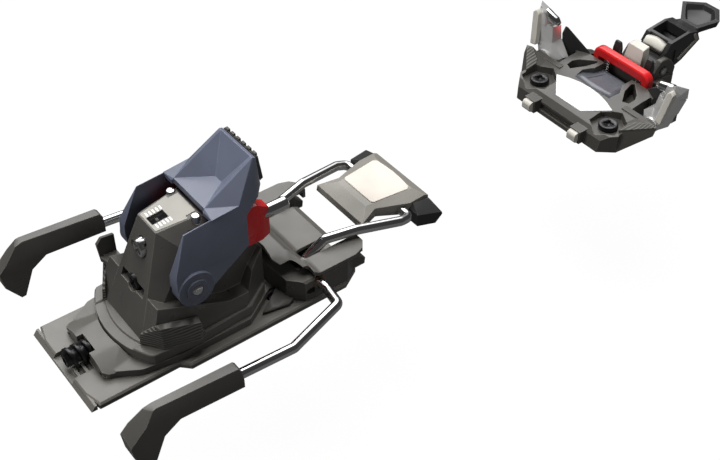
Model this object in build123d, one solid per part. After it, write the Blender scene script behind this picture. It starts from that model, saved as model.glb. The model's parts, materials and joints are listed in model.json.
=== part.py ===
from build123d import *
from scipy.spatial import ConvexHull
import math
import os

# Pin-type ski touring binding: toe unit, heel unit and ski brake, all on one ski axis.
# Millimetres. +X points to the ski tip, +Y to the left edge of the ski, +Z up.
# The origin is the centre of the heel screw pattern on the ski's top surface (z = 0).

os.makedirs("parts", exist_ok=True)

# ---------------------------------------------------------------- driving dimensions
RUN = 0.05            # radial clearance of a running fit

SCREW_X = 34.0        # heel screws, half spacing along the ski
SCREW_Y = 20.0        # heel screws, half spacing across the ski
SCREW_R = 2.75        # thread of a 5.5 mm ski screw
SCREW_NECK_R = 2.15   # plain neck inside the base
SCREW_DEPTH = 5.0     # thread that stands out below the base

BASE_REAR = -64.0     # heel base plate
BASE_STEP = -24.0     # where the heel base widens
BASE_FRONT = 74.0
BASE_REAR_HALF = 28.7
BASE_HALF = 32.8
BASE_TOP = 3.2

WORM_Z = 6.1          # length-adjusting worm
WORM_R = 5.2
WORM_CORE_R = 3.3
WORM_PITCH = 4.0
WORM_REAR = -63.0
WORM_TURNS = 2.5
WORM_COLLAR_X = -48.0
WORM_END = -45.0

CARRIAGE_REAR = -55.0
CARRIAGE_FRONT = 31.0
CARRIAGE_TOP = 10.2
CARRIAGE_DECK = 7.0   # low part of the carriage, under the turret

TURRET_X = 4.0        # vertical axis of the heel turret
TURRET_R = 47.0
FLANGE_TOP = 12.6
SPINDLE_R = 9.0

PIN_AXLE_X = 1.7      # vertical axles of the heel pin carriers
PIN_AXLE_Y = 10.4
PIN_AXLE_R = 2.2
HEEL_PIN_Y = 13.4
HEEL_PIN_Z = 49.5
HEEL_PIN_R = 3.3
HEEL_PIN_ROOT = 35.3   # front face of its carrier
HEEL_PIN_TIP = 46.0

V_SCREW_Z = 49.4      # vertical-release adjuster
L_SCREW_Z = 32.0      # lateral-release adjuster

LEVER_X = -9.6        # climbing lever axle
LEVER_Z = 37.6
LEVER_AXLE_R = 2.6

BRAKE_X = 49.5        # brake wire pivot
BRAKE_Z = 12.0
WIRE_R = 2.45
BUSH_R = 3.3
HOUSING_REAR = 35.0
COVER_Z = 17.6
COVER_RISE = 7.1      # height of the cover's rear plateau over its front
COVER_WALL = 2.0
ROLL_X = 41.0         # start of the cover's rolled step, its length and its drawn steps
ROLL_LENGTH = 10.0
ROLL_STEPS = 10
SLOT_INNER = 13.4     # slots of the cover around the wires
SLOT_OUTER = 20.6
SLOT_REAR = 51.4
CENTRE_FRONT = 69.0   # front end of housing and cover between the wires

TREADLE_X = 108.0     # treadle hinge on the front ends of the brake wires
TREADLE_Z = 15.6

TOE_X = 266.0         # toe pin line
PIN_TIP_Y = 36.8      # tips of the toe pins with the wings open
PIN_TIP_Z = 33.0
PIN_TILT = math.radians(14.0)
TOE_PIN_R = 2.6
WING_Y = 41.0         # wing hinge axes
WING_Z = 11.0
WING_AXLE_R = 2.5
TOE_SCREW_X = TOE_X - 21.8
TOE_SCREW_Y = 26.6
TOE_POCKET_R = 10.4   # hexagonal pockets around the rear toe screws
TOE_FRONT_SCREW_X = TOE_X + 26.0
TOE_FRONT_SCREW_Y = 20.5
BAR_REAR = 13.2       # trigger bar, from the toe pin line
BAR_FRONT = 18.8
BAR_HALF = 20.6
LOCK_X = TOE_X + 36.0
LOCK_Z = 13.0


# ---------------------------------------------------------------- helpers
def block(x0, x1, y0, y1, z0, z1):
    """A box from its low and high corners."""
    return Pos((x0 + x1) / 2, (y0 + y1) / 2, (z0 + z1) / 2) * Box(x1 - x0, y1 - y0, z1 - z0)


def prism(points, axis, low, high):
    """An outline drawn in the plane across an axis, extruded along that axis."""
    if axis == "x":
        corners = [(low, a, b) for a, b in points]
        way = (1, 0, 0)
    elif axis == "y":
        corners = [(a, low, b) for a, b in points]
        way = (0, 1, 0)
    else:
        corners = [(a, b, low) for a, b in points]
        way = (0, 0, 1)
    return extrude(make_face(Polyline(*corners, close=True)), amount=high - low, dir=way)


def rod(radius, start, end):
    """A round bar between two points."""
    way = Vector(*end) - Vector(*start)
    plane = Plane(origin=start, z_dir=way)
    return plane * Pos(0, 0, way.length / 2) * Cylinder(radius, way.length)


def facet(body, a, b, c, inside):
    """Cuts a body by the plane through three points and keeps the side that holds `inside`."""
    normal = (Vector(*b) - Vector(*a)).cross(Vector(*c) - Vector(*a))
    if normal.dot(Vector(*inside) - Vector(*a)) > 0:
        normal = normal * -1
    return split(body, bisect_by=Plane(origin=a, z_dir=normal), keep=Keep.BOTTOM)


def facets(body, triples, inside):
    """Cuts a body by several planes and by their mirror images across the ski axis."""
    for a, b, c in triples:
        body = facet(body, a, b, c, inside)
        flipped = [(p[0], -p[1], p[2]) for p in (a, b, c)]
        body = facet(body, *flipped, (inside[0], -inside[1], inside[2]))
    return body


def mirrored(shape):
    """The same shape on the other side of the ski axis."""
    return mirror(shape, about=Plane.XZ)


def both(shape):
    """A shape and its mirror image."""
    return [shape, mirrored(shape)]


def wire_path(points, radius, bend):
    """A round wire along a polyline with rounded corners."""
    line = FilletPolyline(*points, radius=bend)
    start = Plane(origin=line @ 0, z_dir=line % 0)
    return sweep(start * Circle(radius), path=line)


def hull(points):
    """The convex solid around a set of corners, with flat facets between them."""
    shape = ConvexHull(points)
    corners = [Vector(*point) for point in points]
    faces = [Face(Wire.make_polygon([corners[i] for i in triangle])) for triangle in shape.simplices]
    return Solid(Shell(faces)).clean()


def coil(radius, wire, start, end, turns):
    """A closed-end coil spring drawn as a stack of rings along its axis."""
    first = Vector(*start)
    step = (Vector(*end) - first) / (turns - 1)
    plane = Plane(origin=start, z_dir=step)
    rings = []
    for index in range(turns):
        rings.append(Plane(origin=first + step * index, z_dir=plane.z_dir) * Torus(radius, wire))
    return rings


def sym(points):
    """Points and their mirror images across the ski axis."""
    return [(x, side * y, z) for side in (-1, 1) for x, y, z in points]


def sym_plan(points):
    """A plan outline from its left half, listed from the rear to the front."""
    return points + [(x, -y) for x, y in reversed(points) if y > 0]


def at_toe(points):
    """Moves points drawn about the toe pin line to their place on the ski axis."""
    return [(x + TOE_X, *rest) for x, *rest in points]


def save(node, shapes):
    """Writes one node."""
    solids = []
    for shape in shapes if isinstance(shapes, list) else [shapes]:
        solids.extend(shape.solids())
    export_step(solids[0] if len(solids) == 1 else Compound(children=solids), f"parts/{node}.step")


def ski_screw(x, y, head_z, head_r=5.4):
    """A pan-head ski screw with a cross recess, its thread standing out below the base."""
    head = Pos(x, y, head_z) * Cylinder(head_r, 2.6, align=(Align.CENTER, Align.CENTER, Align.MAX))
    head = fillet(head.edges().sort_by(Axis.Z)[-1:], 1.0)
    thread = rod(SCREW_R, (x, y, -SCREW_DEPTH), (x, y, -0.05))
    neck = rod(SCREW_NECK_R, (x, y, -0.06), (x, y, head_z - 2.0))
    slot = Box(6.0, 1.5, 3.0)
    cross = Pos(x, y, head_z) * Rot(0, 0, 30) * (slot + Rot(0, 0, 90) * slot)
    tip = Pos(x, y, -SCREW_DEPTH) * Cone(0.6, SCREW_R, 2.0, align=(Align.CENTER, Align.CENTER, Align.MAX))
    return head + neck + thread + tip - cross


# ---------------------------------------------------------------- outlines
TREADLE_PAD_OUTLINE = sym_plan([(95.5, 10.6), (96.6, 11.8), (115.5, 13.9), (117.4, 12.6), (118.2, 6),
                                (118.5, 0)])
SCALE_OUTLINE = sym_plan([(-15.9, 6.9), (-1.4, 9.3), (-1.4, 7.4), (3.6, 7.4)])
BADGE_OUTLINE = at_toe(sym_plan([(-26, 9.5), (-14, 21.6), (-11.2, 14), (-9.6, 7), (-9.2, 0)]))
WINDOW_OUTLINE = at_toe(sym_plan([(-8.4, 0), (-7.8, 13.0), (-1.2, 14.2), (4.7, 10.6), (12.6, 10.6)]))
SLOT_OUTLINE = at_toe([(-5.1, -20.0), (1.8, -15.2), (9.0, -13.0), (11.0, -14.0), (4.0, -22.0), (0.3, -24.0),
                       (-3.8, -23.6)])
RAIL_SIDE = at_toe([(50.6, 13.9), (52.2, 12.2), (67.2, 21.0), (63.6, 26.0), (61.6, 24.8), (64.0, 21.6)])


# ---------------------------------------------------------------- heel base
def worm_tooth_places(angle):
    """Centres along the worm, between its threads, at an angle about its axis from +Y."""
    first = WORM_REAR + WORM_PITCH * (angle / 360 + 0.5)
    while first < BASE_REAR - 2:
        first += WORM_PITCH
    while first > BASE_REAR + 2:
        first -= WORM_PITCH
    return [first + WORM_PITCH * i for i in range(5)]


def heel_base_plate():
    outline = [
        (BASE_REAR - 1.5, -19), (BASE_REAR - 1.5, 19), (BASE_REAR + 1, BASE_REAR_HALF),
        (BASE_STEP, BASE_REAR_HALF), (BASE_STEP + 4, BASE_HALF), (BASE_FRONT - 10, BASE_HALF),
        (BASE_FRONT, BASE_HALF - 6), (BASE_FRONT, -BASE_HALF + 6), (BASE_FRONT - 10, -BASE_HALF),
        (BASE_STEP + 4, -BASE_HALF), (BASE_STEP, -BASE_REAR_HALF), (BASE_REAR + 1, -BASE_REAR_HALF),
    ]
    plate = prism(outline, "z", 0, BASE_TOP)
    plate = chamfer(plate.faces().sort_by(Axis.Z)[-1].edges(), 0.9)
    foot = prism([(BASE_REAR - 3, 0), (BASE_REAR, 0), (BASE_REAR, 2.6), (BASE_REAR - 1, 2.6)], "y",
                 -BASE_REAR_HALF + 0.6, BASE_REAR_HALF - 0.6)
    plate += foot
    for side in (-1, 1):
        # T-shaped rails that the carriage rides on
        web = sorted((side * 14.0, side * 16.0))
        lip = sorted((side * 14.0, side * 18.0))
        plate += block(BASE_REAR + 12, 30, *web, BASE_TOP - 0.2, 5.4)
        plate += block(BASE_REAR + 12, 30, *lip, 4.2, 5.4)
    slot = block(BASE_REAR - 4, BASE_REAR + 30, -9, 9, 0.7, 20)
    plate -= slot
    for side, angle in ((1, -47), (-1, -133)):
        for x in worm_tooth_places(angle):
            if x > BASE_REAR - 0.5:
                low, high = sorted((side * 9.2, side * 2.7))
                plate += block(x - 0.6, x + 0.6, low, high, 0.6, BASE_TOP)
    for x in (-SCREW_X, SCREW_X):
        for y in (-SCREW_Y, SCREW_Y):
            plate -= rod(SCREW_R + RUN, (x, y, -1), (x, y, 8))
            plate -= rod(5.6, (x, y, 0.7), (x, y, 8))
    return plate


def brake_housing():
    """Box of the ski brake, open at the front."""
    side = prism([(-31.8, 3.4), (-31.8, 14.4), (-30.6, 15.4), (30.6, 15.4), (31.8, 14.4), (31.8, 3.4)], "x",
                 HOUSING_REAR, 74)
    plan = prism(sym_plan([(HOUSING_REAR, 14), (HOUSING_REAR + 0.8, 25.0), (HOUSING_REAR + 7, 31.8),
                           (66, 31.8), (74, 26), (74, 20.8), (CENTRE_FRONT, 20.8)]), "z", 3.4, 30)
    body = side & plan
    # hollow for the wires and the spring, open at the front
    body -= block(44, 80, -23, 23, 6, 30)
    body -= block(55, 80, -12, 12, 4.5, 30)
    for part in both(rod(BUSH_R + RUN, (BRAKE_X, -40, BRAKE_Z), (BRAKE_X, -20, BRAKE_Z))):
        body -= part
    # slot beside the pivot hole
    for part in both(rod(1.7, (44.2, -33, 8.6), (44.2, -29, 8.6)) + block(44.2, 47, -33, -29, 6.9, 10.3)):
        body -= part
    # hooks at the front corners
    hook = prism([(70, 4), (78.6, 4), (79.0, 7.6), (74, 11.4), (70, 11.4)], "y", -28, -23.5)
    for part in both(hook):
        body += part
    return body


def housing_foot(housing):
    """Right-hand flat clamp behind the brake housing that reaches over the front ski screw."""
    foot = prism([(21.0, -27.0), (34.0, -18.2), (36.4, -18.2), (37.4, -28.2), (34.0, -29.4)], "z",
                 BASE_TOP + 0.25, 5.6)
    return foot - housing


def brake_cover():
    """Lid of the brake: a raised rear plateau that rolls down to a flat front with two fingers."""
    rear_top = COVER_Z + COVER_RISE
    roll = []
    for step in range(ROLL_STEPS + 1):
        drop = (1 - math.cos(math.pi * step / ROLL_STEPS)) / 2
        roll.append((ROLL_X + step * ROLL_LENGTH / ROLL_STEPS, rear_top - COVER_RISE * drop))
    under = [(x - 0.6, z - COVER_WALL) for x, z in reversed(roll)]
    front = [(79.5, COVER_Z), (79.5, COVER_Z - 5.4), (77.2, COVER_Z - 5.4), (77.2, COVER_Z - COVER_WALL)]
    profile = [(33.0, rear_top)] + roll + front + under + [(33.0, rear_top - COVER_WALL)]
    body = prism(profile, "y", -32.4, 32.4)
    body &= prism(sym_plan([(35.0, 4), (35.2, 8.5), (33.6, 17.3), (37.3, 26.2), (46.7, 27.8), (46.7, 32.2),
                            (70.5, 32.2), (75.5, 30.4), (78.8, 26.2), (78.8, SLOT_INNER),
                            (CENTRE_FRONT, SLOT_INNER)]), "z", 0, 40)
    plateau_edge = ((34.0, -15.5, 24.6), (46.0, -15.5, 24.6), (40.0, -26.5, 21.2))
    body = facets(body, [plateau_edge], (50, 0, 17))
    middle = block(60, 90, -SLOT_INNER, SLOT_INNER, 0, 40)
    front_edge = ((65.8, -12.0, COVER_Z), (65.8, 12.0, COVER_Z), (CENTRE_FRONT, 0, COVER_Z - 1.6))
    body -= middle - facet(middle, *front_edge, (62, 0, 5))
    # slots that the front arms of the brake wires swing in
    centre = (SLOT_INNER + SLOT_OUTER) / 2
    slot = block(SLOT_REAR, 90, -SLOT_OUTER, -SLOT_INNER, 0, 40)
    slot += rod((SLOT_OUTER - SLOT_INNER) / 2, (SLOT_REAR, -centre, 0), (SLOT_REAR, -centre, 40))
    for part in both(slot):
        body -= part
    return body


def brake_spring():
    return coil(4.2, 0.7, (BRAKE_X + 14, -8, 10.6), (BRAKE_X + 14, 8, 10.6), 10)


def brake_bushes():
    sleeve = rod(BUSH_R, (BRAKE_X, -31.8, BRAKE_Z), (BRAKE_X, -23.2, BRAKE_Z))
    sleeve -= rod(WIRE_R + RUN, (BRAKE_X, -40, BRAKE_Z), (BRAKE_X, -20, BRAKE_Z))
    return both(sleeve)


# ---------------------------------------------------------------- brake
def brake_wire(radius=WIRE_R):
    """Right-hand wire: pad arm, pivot stretch through the housing, treadle arm and its end."""
    points = [
        (-36.0, -60.6, 18.0), (16.0, -59.8, 13.6), (46.8, -50.2, 14.0), (BRAKE_X, -38.0, BRAKE_Z),
        (BRAKE_X, -17.0, BRAKE_Z), (63.0, -17.6, 20.4), (78.0, -21.5, 20.8), (102.0, -26.2, 17.0),
        (TREADLE_X, -25.0, TREADLE_Z), (TREADLE_X, -12.0, TREADLE_Z),
    ]
    return wire_path(points, radius, 3.2)


def brake_pad():
    """Right-hand brake pad: a faceted sleeve on the wire and a hooked tip that points down."""
    profile = [(-12.6, 21.6), (-14.0, 23.4), (-52.6, 26.4), (-56.4, 25.4), (-67.0, 15.0), (-66.0, 6.0),
               (-59.6, -3.6), (-57.4, -3.4), (-51.5, 10.0), (-43.5, 15.0), (-12.6, 13.0)]
    body = prism(profile, "y", -65.2, -57.0)
    inner = (-40, -61, 18)
    body = facet(body, (-12, -58.6, 24), (-60, -58.6, 24), (-30, -56.4, 17), inner)
    body = facet(body, (-12, -63.0, 24.2), (-60, -63.6, 26), (-30, -65.4, 18), inner)
    body = facet(body, (-53, -57, 30), (-53, -66, 26), (-70, -60, 12), (-50, -61, 10))
    return body - brake_wire(WIRE_R + 0.02)


# ---------------------------------------------------------------- treadle
def treadle():
    """Heel rest on the front ends of the brake wires, waisted behind its pad."""
    body = prism([(84, 15.4), (84.6, 18.6), (92, 21.4), (118, 21.6), (123.4, 18.6), (123.4, 13.4),
                  (112, 12.2), (96, 15.2)], "y", -20.5, 20.5)
    body &= prism(sym_plan([(84, 18.6), (95, 14.6), (112, 20.5), (123.6, 20.5)]), "z", 0, 40)
    body = facets(body, [((84, -18.1, 18.6), (96, -11.6, 21.5), (123, -17.0, 21.0))], (100, 0, 17))
    for part in both(rod(WIRE_R + RUN, (TREADLE_X, -30, TREADLE_Z), (TREADLE_X, -11.5, TREADLE_Z))):
        body -= part
    body -= prism(TREADLE_PAD_OUTLINE, "z", 20.3, 30)
    return body


def treadle_pad():
    return prism(TREADLE_PAD_OUTLINE, "z", 20.3, 22.0)


def treadle_lug():
    """Right-hand front lug that keeps the treadle between the wire ends and the boot."""
    body = prism([(111.5, 9.0), (111.5, 16.0), (114, 18.6), (123.0, 17.6), (124.5, 13.0), (121, 8.0)], "y",
                 -30.5, -20.6)
    body = facet(body, (112, -21, 18.5), (124, -21, 18.0), (118, -30.5, 14.5), (118, -24, 10))
    body = facet(body, (111, -27, 10), (124, -30.5, 10), (124, -30.5, 16), (118, -24, 12))
    return body


# ---------------------------------------------------------------- carriage and worm
def slide_carriage():
    """Carriage of the heel: a raised block at the back that holds the worm, a low deck in front."""
    body = prism(sym_plan([(CARRIAGE_REAR, 17), (-53, 19), (-26, 25.4)]), "z", BASE_TOP + 0.2, CARRIAGE_TOP)
    shoulder = ((-54, -9.6, CARRIAGE_TOP), (0, -9.6, CARRIAGE_TOP), (-54, -19, 6.4))
    body = facets(body, [shoulder], (-30, 0, 5))
    body += prism(sym_plan([(-50, 19.7), (-40, 25.7), (-22, 28.4), (14, 28.4), (CARRIAGE_FRONT, 17.4)]), "z",
                  BASE_TOP + 0.2, CARRIAGE_DECK)
    turret_room = Pos(TURRET_X, 0, CARRIAGE_DECK) * Cylinder(
        TURRET_R + 0.6, 20, align=(Align.CENTER, Align.CENTER, Align.MIN))
    body -= turret_room
    body -= block(0, 60, -40, 40, CARRIAGE_DECK, 30)
    for side in (-1, 1):
        web = sorted((side * (14.0 - RUN), side * (16.0 + RUN)))
        lip = sorted((side * (14.0 - RUN), side * (18.0 + RUN)))
        body -= block(-70, 40, *web, 0, 5.5)
        body -= block(-70, 40, *lip, 4.2 - RUN, 5.4 + RUN)
    # opening over the worm, then its journal and collar pocket
    body -= block(-70, -52.0, -6.0, 6.0, 0, 20.0)
    body -= rod(WORM_CORE_R + RUN, (-70, 0, WORM_Z), (WORM_END + RUN, 0, WORM_Z))
    body -= block(WORM_COLLAR_X - RUN, WORM_COLLAR_X + 2 + RUN, -5.0, 5.0, 0, WORM_Z + 3.7)
    body -= rod(SPINDLE_R + RUN, (TURRET_X, 0, 0), (TURRET_X, 0, 20))
    # room for the heads of the ski screws along the carriage's travel
    for x in (-SCREW_X, SCREW_X):
        for y in (-SCREW_Y, SCREW_Y):
            body -= block(x - 8, x + 18, y - 6, y + 6, 0, 3.6)
    return body


def adjust_worm():
    core = rod(WORM_CORE_R, (WORM_REAR - 1.5, 0, WORM_Z), (WORM_END, 0, WORM_Z))
    collar = rod(3.65, (WORM_COLLAR_X, 0, WORM_Z), (WORM_COLLAR_X + 2, 0, WORM_Z))
    path = Helix(pitch=WORM_PITCH, height=WORM_PITCH * WORM_TURNS, radius=WORM_CORE_R)
    root = WORM_CORE_R - 0.4
    profile = Polyline((root, 0, -1.1), (WORM_R, 0, -0.7), (WORM_R, 0, 0.7), (root, 0, 1.1), close=True)
    thread = sweep(make_face(profile), path=path, is_frenet=True)
    thread = Pos(WORM_REAR, 0, WORM_Z) * Rot(0, 90, 0) * Rot(0, 0, 90) * thread
    socket = Pos(WORM_REAR - 1.5, 0, WORM_Z) * Rot(0, 90, 0) * extrude(RegularPolygon(2.0, 6), 4)
    return core + collar + thread - socket


def turret_spindle():
    """Steel spindle that stands on the carriage and carries the turret."""
    foot = rod(SPINDLE_R, (TURRET_X, 0, BASE_TOP + 0.3), (TURRET_X, 0, 14.0))
    post = rod(6.0, (TURRET_X, 0, 14.0), (TURRET_X, 0, 36.2))
    notch = rod(2.6, (TURRET_X - 7.4, 0, 26.0), (TURRET_X - 7.4, 0, 37.0))
    return foot + post - notch


# ---------------------------------------------------------------- turret
def turret_flange():
    """Round foot of the turret with a thick rim at the back."""
    disc = Pos(TURRET_X, 0, 0) * Cylinder(TURRET_R, 20, align=(Align.CENTER, Align.CENTER, Align.MIN))
    plan = prism(sym_plan([(-48, 16), (-34, 26.6), (-14, 28.2), (16, 26.4), (28.5, 18)]), "z",
                 CARRIAGE_DECK + 0.15, FLANGE_TOP)
    body = disc & plan
    step = Pos(TURRET_X, 0, FLANGE_TOP - 0.8) * (
        Cylinder(60, 5, align=(Align.CENTER, Align.CENTER, Align.MIN))
        - Cylinder(TURRET_R - 4.5, 5, align=(Align.CENTER, Align.CENTER, Align.MIN)))
    body -= step & block(-60, -20, -17, 17, 0, 30)
    body -= rod(SPINDLE_R + RUN, (TURRET_X, 0, 0), (TURRET_X, 0, 20))
    return chamfer(body.faces().sort_by(Axis.Z)[-1].outer_wire().edges(), 0.5)


def turret_housing():
    """Faceted tower of the heel: a column, and a wider skirt whose sides dip under the lever's hubs."""
    column = prism([(-34.4, FLANGE_TOP), (-16.4, 60.4), (4.0, 62.3), (10, 58), (26, 36), (29.5, 33),
                    (29.5, FLANGE_TOP)], "y", -17.4, 17.4)
    column = facets(column, [
        ((-34.4, -15.8, FLANGE_TOP), (-16.4, -7.6, 60.4), (-10.0, -17.4, 50.0)),
        ((-16.4, -7.6, 60.6), (4.0, -10.5, 62.3), (4.0, -17.4, 55.5)),
        ((29.5, -13.0, 33), (10, -17.0, 58), (20, -17.4, 30)),
    ], (0, 0, 30))
    skirt = prism([(-34.4, FLANGE_TOP), (-27.0, 31.8), (6.6, 19.7), (16, 19.6), (20.5, 28.4), (29.5, 33),
                   (29.5, FLANGE_TOP)], "y", -26, 26)
    skirt &= prism(sym_plan([(-34.4, 15.8), (-29, 22.6), (-8, 26), (13.8, 26), (29.5, 16)]), "z",
                   FLANGE_TOP, 40)
    skirt = facets(skirt, [((-30, -26.0, 15), (15, -26.0, 15), (15, -21.5, 30))], (0, 0, 20))
    body = column + skirt
    # guard outside the lever's left leg, on a ledge at the skirt's rear corner
    guard = hull([(-30.0, -28.2, 35.6), (-27.4, -28.2, 38.4), (-21.2, -28.2, 37.6), (-22.5, -28.2, 26.0),
                  (-28.8, -28.0, 26.0), (-30.0, -26.3, 36.0), (-27.4, -26.3, 39.0), (-21.2, -26.3, 38.2),
                  (-21.2, -26.3, 26.0), (-29.6, -26.3, 26.0)])
    ledge = prism([(-29.6, -26.3), (-28.8, -28.0), (-22.0, -28.2), (-21.2, -26.3), (-21.2, -21.0),
                   (-28.0, -20.0)], "z", 26.0, 28.6)
    for part in (mirrored(guard), mirrored(ledge)):
        body += part
    body -= rod(SPINDLE_R + RUN, (TURRET_X, 0, 0), (TURRET_X, 0, 14.2))
    body -= rod(6.0 + RUN, (TURRET_X, 0, 0), (TURRET_X, 0, 36.5))
    # adjuster bores from the rear face
    body -= rod(4.6 + RUN, (-40, 0, V_SCREW_Z), (-2.0, 0, V_SCREW_Z))
    body -= rod(4.0 + RUN, (-45, 0, L_SCREW_Z), (TURRET_X - 5.5, 0, L_SCREW_Z))
    body -= block(-36, -22.4, -9.5, 9.5, L_SCREW_Z - 2.2, L_SCREW_Z + 2.2) & block(-60, 0, -30, 30, 0, 60)
    # pockets of the heel pin carriers, open to the front and to the sides
    for part in both(block(-4.0, 60, -40, -6.2, 37.4, 58.4)):
        body -= part
    body -= block(10.0, 60, -40, 40, 36.8, 70)
    # slot of the crosshead behind the carriers
    body -= block(-7.6, -2.0, -13.2, 13.2, 45.8, 53.2)
    for part in both(rod(PIN_AXLE_R + RUN, (PIN_AXLE_X, -PIN_AXLE_Y, 30), (PIN_AXLE_X, -PIN_AXLE_Y, 70))):
        body -= part
    for part in both(rod(LEVER_AXLE_R + RUN, (LEVER_X, -30, LEVER_Z), (LEVER_X, -12, LEVER_Z))):
        body -= part
    # seat of the scale plate
    body -= prism(SCALE_OUTLINE, "z", 58, 70) & scale_layer(-0.9, 5)
    body -= block(-15.2, -6.8, -1.6, 1.6, 50, 70) & scale_layer(-2.6, 0)
    return body


def scale_layer(low, high):
    """A slab parallel to the tower's sloping top face, between two heights over it."""
    rear = 60.06
    front = 62.67
    return prism([(-20, rear + low), (8, front + low), (8, front + high), (-20, rear + high)], "y", -20, 20)


def scale_plate():
    body = prism(SCALE_OUTLINE, "z", 55, 70) & scale_layer(-0.85, 0.25)
    body -= block(-15.0, -7.0, -2.7, 2.7, 50, 70)
    for i in range(5):
        for side in (-1, 1):
            low, high = sorted((side * 3.2, side * 5.8))
            body -= block(-14.2 + i * 1.7, -13.4 + i * 1.7, low, high, 50, 70) & scale_layer(0.05, 2)
    return body


def scale_window():
    return block(-14.9, -7.1, -2.6, 2.6, 50, 70) & scale_layer(-0.35, 0.2)


def scale_pointer():
    """White marker under the window; it slides as the release value changes."""
    return block(-11.9, -10.7, -0.9, 0.9, 50, 70) & scale_layer(-1.4, -0.65)


def release_screw(z, face_x, radius, length):
    """A round adjuster with a cross recess, its axis along the ski."""
    body = rod(radius, (face_x, 0, z), (face_x + length, 0, z))
    slot = Box(2.4, 1.3, radius * 1.3)
    return body - Pos(face_x, 0, z) * Rot(35, 0, 0) * (slot + Rot(90, 0, 0) * slot)


def heel_pin_carrier():
    """Right-hand lever that holds a heel pin and turns on a vertical axle."""
    plan = prism([(-2.6, -7.0), (8, -6.8), (20, -9.4), (35.2, -9.4), (35.2, -17.0), (18, -17.0), (4, -14.6),
                  (-2.6, -13.8)], "z", 30, 60)
    side = prism([(-3, 38.0), (35.3, 38.0), (35.3, 53.6), (29.0, 57.6), (-3, 57.6)], "y", -20, 0)
    body = plan & side
    body = facet(body, (24, -17.1, 47), (36, -17.1, 47), (24, -15.6, 58), (20, -12, 45))
    body = facet(body, (30, -17.0, 37), (35.4, -15.0, 37), (35.4, -15.0, 60), (20, -12, 45))
    body -= rod(PIN_AXLE_R + RUN, (PIN_AXLE_X, -PIN_AXLE_Y, 0), (PIN_AXLE_X, -PIN_AXLE_Y, 80))
    return body - heel_pin()


def heel_pin():
    """Right-hand heel pin with a rounded nose."""
    root = (HEEL_PIN_ROOT, -HEEL_PIN_Y, HEEL_PIN_Z)
    body = rod(HEEL_PIN_R, root, (HEEL_PIN_TIP, -HEEL_PIN_Y, HEEL_PIN_Z))
    body = fillet(body.edges().sort_by(Axis.X)[-1:], 1.6)
    return body + rod(HEEL_PIN_R - 0.8, (24.2, -HEEL_PIN_Y, HEEL_PIN_Z), root)


def pin_axles():
    axle = rod(PIN_AXLE_R, (PIN_AXLE_X, -PIN_AXLE_Y, 33), (PIN_AXLE_X, -PIN_AXLE_Y, 62.9))
    axle = fillet(axle.edges().sort_by(Axis.Z)[-1:], 0.8)
    return both(axle)


def side_grip():
    """Right-hand textured panel on the skirt; it wraps the skirt's rear corner."""
    body = hull([(-31.0, -22.6, 13.0), (-10.5, -26.2, 13.0), (-30.6, -21.9, 25.5), (-10.5, -24.2, 22.0),
                 (-29.0, -26.4, 13.0), (-13, -31.2, 13.0), (-29.0, -25.8, 25.0), (-11.5, -29.6, 21.5),
                 (-9.4, -29.5, 13.0)])
    body = facet(body, (-30, -22.0, 13), (-8, -25.7, 13), (-8, -25.7, 15), (-15, -40, 15))
    body &= block(-60, 60, -40, -22.7, FLANGE_TOP + 0.2, 40)
    body += hull([(-28.8, -22.5, 12.8), (-28.8, -26.4, 13.0), (-29.0, -25.8, 25.0), (-29.0, -22.5, 25.4),
                  (-34.4, -15.9, 12.8), (-35.8, -17.0, 12.8), (-35.0, -17.2, 18.5), (-33.8, -16.2, 18.5)])
    body -= turret_housing_envelope()
    return body - Pos(-9.8, -28.2, 17.0) * Rot(0, 90, 0) * Cylinder(1.7, 6)


def turret_housing_envelope():
    """The housing's outer skirt, a little enlarged, to trim the parts that sit against it."""
    return prism([(-34.6, -15.9), (-29.1, -22.75), (-8, -26.15), (13.9, -26.15), (13.9, 0), (-34.6, 0)],
                 "z", 0, 40)


def vertical_plunger():
    """Sprung crosshead behind the tails of both heel pin carriers."""
    stem = rod(4.0, (-11.5, 0, V_SCREW_Z), (-6.2, 0, V_SCREW_Z))
    return stem + block(-6.2, -3.0, -13.0, 13.0, 46.0, 53.0)


def lateral_plunger():
    """Sprung nose that faces the notch of the spindle."""
    return rod(3.6, (-7.7, 0, L_SCREW_Z), (-2.2, 0, L_SCREW_Z))


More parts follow.
